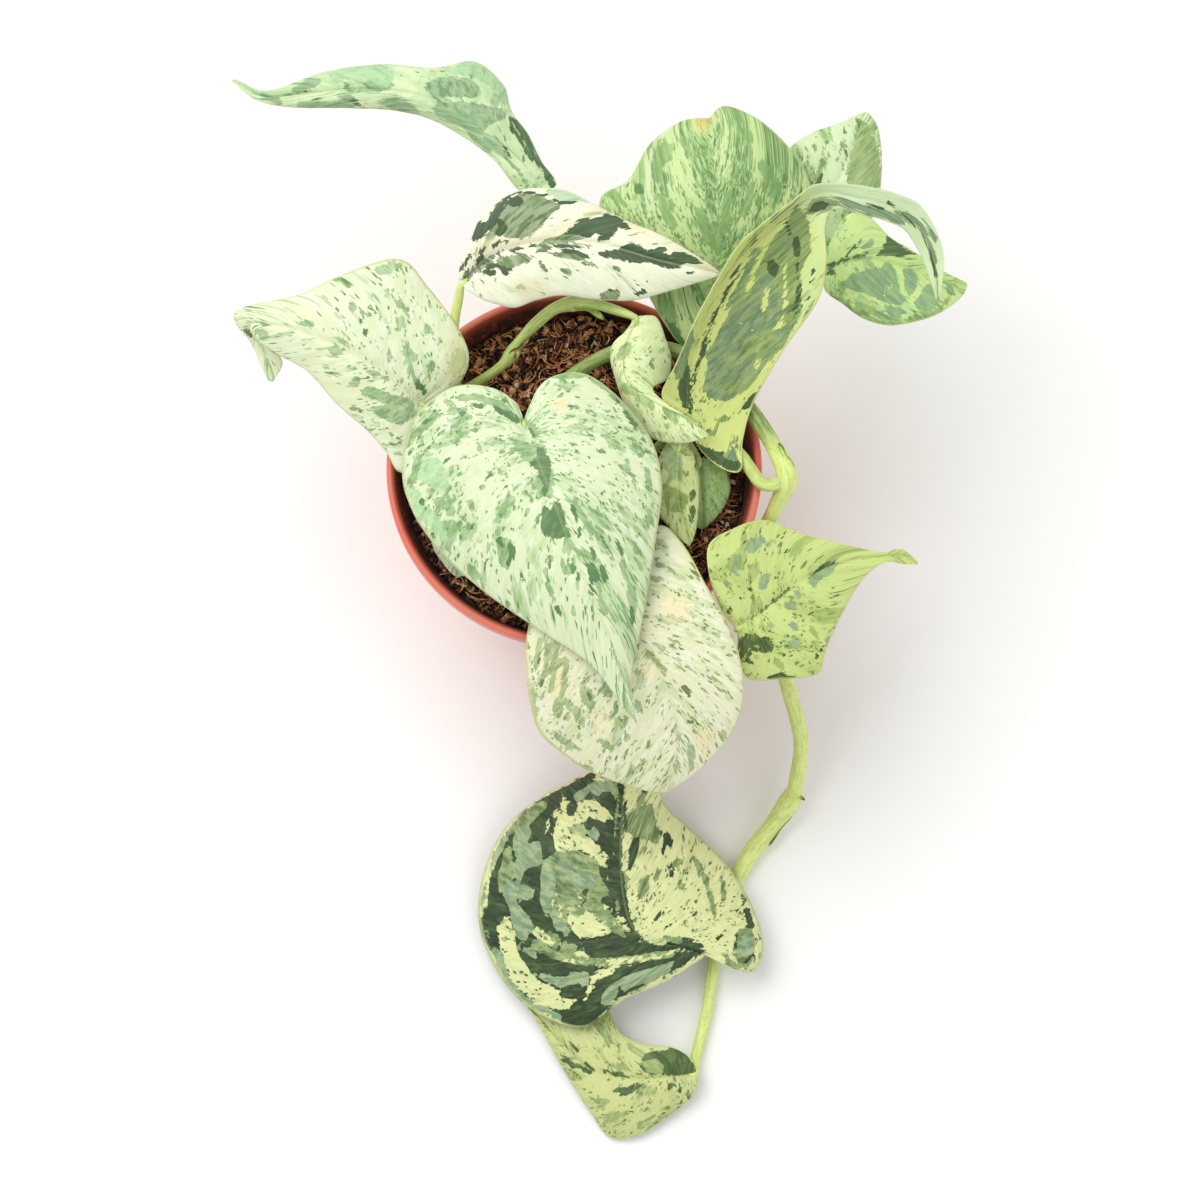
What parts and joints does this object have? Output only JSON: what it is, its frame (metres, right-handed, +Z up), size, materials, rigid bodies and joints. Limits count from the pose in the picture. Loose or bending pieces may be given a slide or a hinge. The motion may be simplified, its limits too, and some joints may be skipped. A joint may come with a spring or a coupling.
{
  "type": "potted trailing aroid",
  "caption": "Trailing house plant with heart-shaped cream and green marbled leaves, rooted in soil in a round nursery pot, one stem running out over the lip.",
  "frame": {"origin": "centre of the underside of the pot's foot, on the surface that it stands on", "axes": "+Z up, +X towards the side where the long stem leaves the pot, -Y towards the front, where that stem runs out"},
  "size_m": [0.2402, 0.3428, 0.1502],
  "materials": {
    "terracotta plastic": "satin",
    "potting soil": "matte",
    "stem": "satin",
    "cream leaf": "satin",
    "mint leaf": "satin",
    "lime leaf": "satin",
    "dark leaf": "satin"
  },
  "bodies": {
    "root": {"pot": "terracotta plastic", "soil": "potting soil", "vine_trailing": "stem", "vine_back": "stem", "vine_right": "stem", "petiole_front": "stem", "petiole_left": "stem", "petiole_inner": "stem", "petiole_over_rim": "stem", "petiole_young": "stem", "petiole_under": "stem", "leaf_front_heart": "cream leaf", "leaf_left": "cream leaf", "leaf_back": "cream leaf", "leaf_far_left": "cream leaf", "leaf_folded": "cream leaf", "leaf_inner": "cream leaf", "leaf_over_rim": "cream leaf", "leaf_trailing_end": "cream leaf", "leaf_back_round": "mint leaf", "leaf_upright": "mint leaf", "leaf_young": "mint leaf", "leaf_under": "mint leaf", "leaf_arched": "lime leaf", "leaf_right_tip": "lime leaf", "leaf_right": "lime leaf", "leaf_trailing": "dark leaf"}
  },
  "joints": []
}
